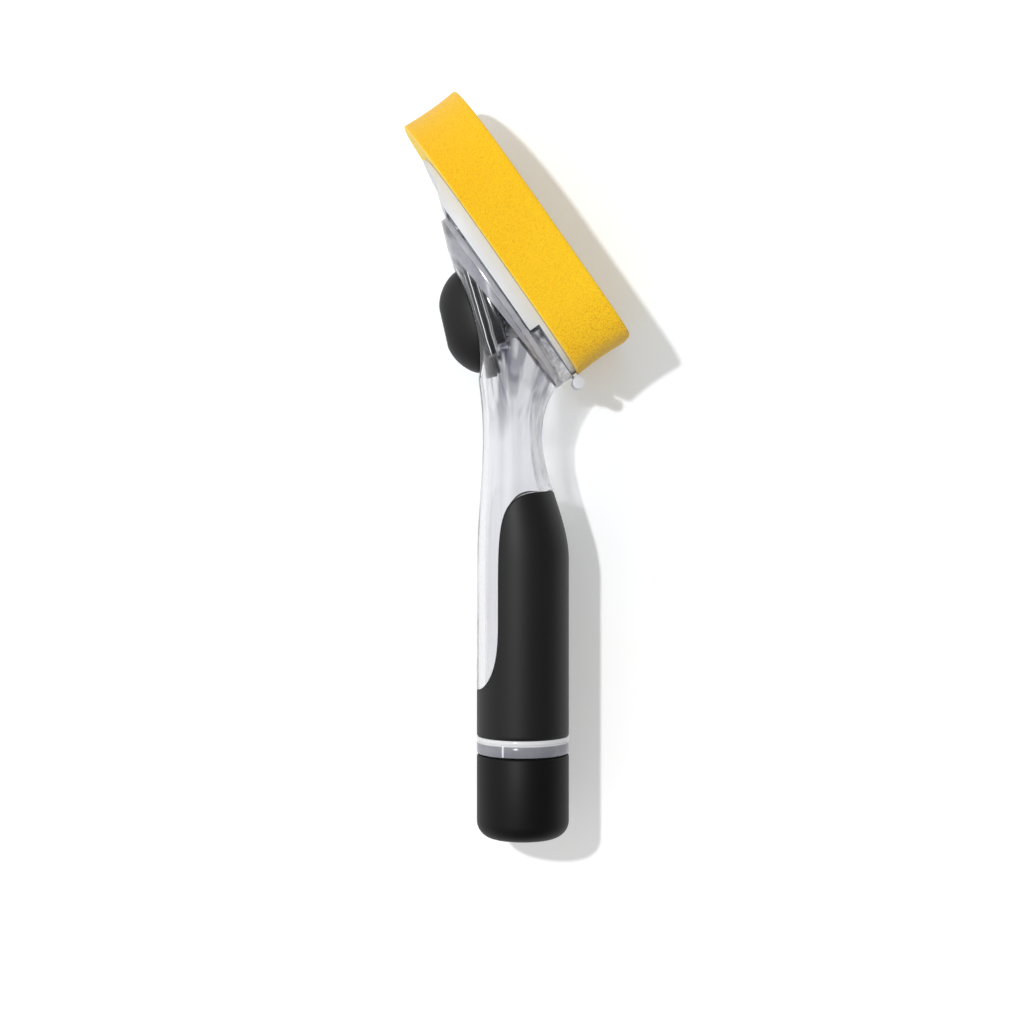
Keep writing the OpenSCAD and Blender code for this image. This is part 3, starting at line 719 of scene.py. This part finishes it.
def make_grip():
    """The rubber that lies flush in the handle's recess, with its window at the back."""
    edge_gap, chamfer = 0.05, 0.4
    low = collar_low + collar_h

    def row(inset, low_share, high_share, low_edge=0, high_edge=0):
        def place(u, t):
            angle = handle_angle(u)
            top = grip_edge_z(angle) - edge_gap
            low_at, high_at = low + low_edge, top - high_edge
            start, end = lerp(low_at, high_at, low_share), lerp(low_at, high_at, high_share)
            return ring_point(station(lerp(start, end, t)), angle, inset)
        return place

    foot = row(chamfer, 0, 0)
    outside = row(0, 0, 1, chamfer, chamfer)
    top_edge = row(chamfer * 0.8, 1, 1)
    inside = row(grip_t - edge_gap, 1, 0)
    stretches = [(2, join(foot, outside)), (90, outside), (2, join(outside, top_edge)),
                 (2, join(top_edge, inside)), (60, inside), (2, join(inside, foot))]
    return new_piece("grip", skin(stretches, 220), "handle", RUBBER, ["grip_sleeve"])


def make_button():
    """The thumb dome: rho is 1 at its rim and 0 in the middle of its flat top."""
    length = button_l - 2 * housing_wall - 2 * move_gap
    width = button_w - 2 * housing_wall - 2 * move_gap
    skirt, wall, flat, power, round_power = 0.22, 1.6, 0.35, 1.7, 0.7

    def corner(u, rho, inset=0):
        y, z = oval(2 * pi * u, width - 2 * inset, length / 2 - inset, length / 2 - inset, button_power,
                    button_power)
        sag = button_saddle * (2 * rho * y / button_w) ** 2
        steep = min(1, max(0, (rho - flat) / (1 - flat)))
        return on_button(sag - (button_h - inset) * (1 - steep**power) ** round_power, rho * y, rho * z)

    def dome(u, t):
        return corner(u, sin(t * pi / 2))

    def rim(u, t):
        return corner(u, 1, t * wall) + on_button(skirt, 0, 0) - on_button(0, 0, 0)

    def under(u, t):
        return corner(u, cos(t * pi / 2), wall)

    stretches = [(90, dome), (1, join(dome, rim)), (2, rim), (1, join(rim, under)), (30, under)]
    return new_piece("thumb_dome", skin(stretches, 160), "button", RUBBER, ["button_pad"])


def make_sponge():
    """A block of foam with slightly drawn-in sides and nearly sharp edges."""
    draw_in, edge, high_power, low_power = 0.45, 0.35, 2.4, 8

    def corner(u, x, inset, share=1):
        y, z = oval(2 * pi * u, sponge_w - 2 * inset, sponge_wide_at - inset,
                    sponge_l - sponge_wide_at - inset, high_power, low_power)
        return on_head(sponge_back + x, share * y, sponge_high - sponge_wide_at + share * z)

    def back(u, t):
        return corner(u, 0, edge, t)

    def wall(u, t):
        x = sponge_t * t
        near = min(x, sponge_t - x)
        return corner(u, x, edge * (1 - min(1, near / edge)) ** 2 + draw_in * sin(pi * t))

    def front(u, t):
        return corner(u, sponge_t, edge, 1 - t)

    piece = new_piece("sponge_block", skin([(24, back), (56, wall), (24, front)], 360), "refill",
                      FOAM, ["sponge"])
    return piece


def make_spring():
    """The coil behind the button, from its seat to just short of the well's floor."""
    floor_gap = 0.04
    low, high = -spring_seat + spring_wire / 2, housing_floor - floor_gap - spring_wire / 2
    steps = 40 * spring_curls
    mesh = bmesh.new()
    wire = bmesh.ops.create_circle(mesh, segments=12, radius=spring_wire / 2)["verts"]
    quarter_turn(mesh, wire)
    bmesh.ops.translate(mesh, verts=wire, vec=(spring_r, 0, low))
    bmesh.ops.spin(mesh, geom=wire + mesh.edges[:], axis=(0, 0, 1), cent=(0, 0, 0),
                   dvec=(0, 0, (high - low) / steps), angle=2 * pi * spring_curls, steps=steps)
    fill_openings(mesh)
    for corner in mesh.verts:
        corner.co = on_button(corner.co.z, corner.co.y, pump_z + corner.co.x) * MM
    coil = new_piece("return_coil", mesh, "handle", STEEL, ["return_spring"])
    floor, inward = on_button(housing_floor, 0, pump_z), on_button(1, 0, 0) - on_button(0, 0, 0)
    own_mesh(coil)
    return coil


def make_cap():
    """The rubber cap: round below, with a soft upper edge and a recess for the threaded liner."""
    edge, edge_round, liner_gap, steps = 0.6, 0.18, 0.05, 12
    arc = [(handle_r - cap_round + cap_round * sin(a), cap_round - cap_round * cos(a))
           for a in (radians(90 * i / steps) for i in range(steps + 1))]
    top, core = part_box("base_cap")[1].z / MM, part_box("cap_core")
    liner_out, liner_base = core[1].x / MM + liner_gap, core[0].z / MM - liner_gap
    profile = [(0, 0), *arc, (handle_r, top - edge), (handle_r - edge_round, top - edge_round),
               (handle_r - edge, top), (liner_out, top), (liner_out, liner_base), (0, liner_base)]
    return new_piece("cap_shell", lathe(profile, 128), "cap", CAP_RUBBER, ["base_cap"])


def paint(material, *nodes):
    """Gives CAD nodes that stay as they are a material."""
    for name in nodes:
        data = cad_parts[name].data
        data.materials.clear()
        data.materials.append(material)


make_shell()
make_grip()
make_button()
make_sponge()
make_cap()
make_spring()
refined("face_cover", "head_cover", "handle", CLEAR_COVER, 0.25)
refined("pump_chamber_clear", "pump_chamber", "handle", CLEAR, 0.12)
refined("pump_well", "pump_housing", "handle", BLACK, 0.2)
refined("refill_tray", "sponge_plate", "refill", WHITE, 0.4, 3)
refined("tab_lip", "release_tab", "release_tab", WHITE, 0.35, 3)
paint(BLACK, "button_core", "piston", "cap_core")
paint(RUBBER, "housing_gasket")
paint(WHITE, "valve_retainer")
paint(SILICONE, "inlet_valve", "outlet_valve", "outlet_grommet", "piston_seal", "cap_gasket")


# Stage, light and camera
wall_y, wall_size = 30, 4000
ambient, key_watts, key_r = 0.577, 14, 14
key_place = Vector((-262, -793, 270))
camera_place = Vector((-2.5, -645, 120.5))
camera_lens, camera_sensor = 71.5, 36
vanishing_x, vanishing_y, picture = 515, 457, 1024
lift_for_camera, share_in_reflections = 0.16, 0.6
cool_middle, cool_reach = Vector((40, wall_y, 195)), (85, 50)


def make_wall():
    """The pale sheet behind the wand, open from behind so that it hides nothing. Camera rays see it a
    little lifted, and glossy and transmission rays see part of a plain pale colour. It is painted cooler
    near the sponge, against the yellow light that the sponge throws on it."""
    mesh = bmesh.new()
    bmesh.ops.create_grid(mesh, x_segments=1, y_segments=1, size=wall_size * MM)
    quarter_turn(mesh, mesh.verts)
    bmesh.ops.translate(mesh, verts=mesh.verts, vec=(0, wall_y * MM, 0))
    f = Finish("pale_sheet")
    spread = f.add("VectorMath", {"operation": "DISTANCE"}, output="Value", i0=f.coordinates(),
                   i1=cool_middle * MM)
    cool = 1 - past(spread, *cool_reach)
    lit = f.add("BsdfDiffuse", Color=f.mix(cool, colour(0.98, 0.985, 0.98), colour(0.91, 0.957, 1)))
    lift = f.add("Emission", Color=colour(1, 1, 1), Strength=lift_for_camera)
    pale = f.add("Emission", Color=colour(0.97, 0.97, 1), Strength=1)
    direct = f.add("MixShader", i0=f.ray("Camera"), i1=lit, i2=f.add("AddShader", i0=lit, i1=lift))
    reflected = (f.ray("Glossy") + f.ray("Transmission")).clamp() * share_in_reflections
    sheet = f.add("MixShader", i0=reflected, i1=direct, i2=pale)
    gone = f.add("BsdfTransparent", Color=colour(1, 1, 1))
    behind = f.add("NewGeometry", output="Backfacing")
    wall = into_scene("pale_sheet", mesh)
    wall.data.materials.append(f.finish(f.add("MixShader", i0=behind, i1=sheet, i2=gone)))


def make_world():
    """White to the camera, and to diffuse rays a pale room that is brighter at the left. Glossy and
    transmission rays see a darker room instead of the white, with a bright window at the left."""
    world = bpy.data.worlds.new("studio")
    bpy.context.scene.world = world
    world.use_nodes = True
    f = Finish("studio", world.node_tree)
    where = f.add("TexCoord", output="Generated")
    across, up = f.axis(where, "X"), f.axis(where, "Z")

    def ease(value, low, high, start, end):
        return f.add("MapRange", {"interpolation_type": "SMOOTHSTEP"}, Value=value, From_Min=low,
                     From_Max=high, To_Min=start, To_Max=end)

    window = ease(across, -0.45, 0.2, 1, 0)
    slope = ease(across, -0.8, 0.8, ambient * 1.3, ambient * 0.7)
    floor = ease(up, -0.5, -0.1, 0.35, 1)
    view = (window * 0.62 + 0.1) * floor
    glossy, through = f.ray("Glossy"), f.ray("Transmission")
    room = f.add("Background", Color=colour(1, 1, 1), Strength=slope)
    seen = f.add("Background", Color=colour(0.97, 0.97, 1), Strength=view + through * (0.42 - view * 0.5))
    white = f.add("Background", Color=colour(1, 1, 1), Strength=1)
    inner = f.add("MixShader", i0=(glossy + through).clamp(), i1=room, i2=seen)
    out = f.tree.nodes.new("ShaderNodeOutputWorld")
    f.tree.links.new(f.add("MixShader", i0=f.ray("Camera"), i1=inner, i2=white).socket,
                     out.inputs["Surface"])


def make_key():
    lamp = bpy.data.lights.new("key", "POINT")
    lamp.energy = key_watts
    lamp.shadow_soft_size = key_r * MM
    key = bpy.data.objects.new("key", lamp)
    key.location = key_place * MM
    bpy.context.scene.collection.objects.link(key)


def make_camera():
    """A level camera. Its shift puts the vanishing point where the photo seems to have it."""
    data = bpy.data.cameras.new("camera")
    data.lens, data.sensor_width = camera_lens, camera_sensor
    data.shift_x = (picture / 2 - vanishing_x) / picture
    data.shift_y = -(picture / 2 - vanishing_y) / picture
    data.clip_start, data.clip_end = 0.01, 100
    camera = bpy.data.objects.new("camera", data)
    camera.location = camera_place * MM
    camera.rotation_euler = (radians(90), 0, 0)
    bpy.context.scene.collection.objects.link(camera)
    bpy.context.scene.camera = camera


make_wall()
make_world()
make_key()
make_camera()
bpy.context.scene.view_settings.view_transform = "Standard"
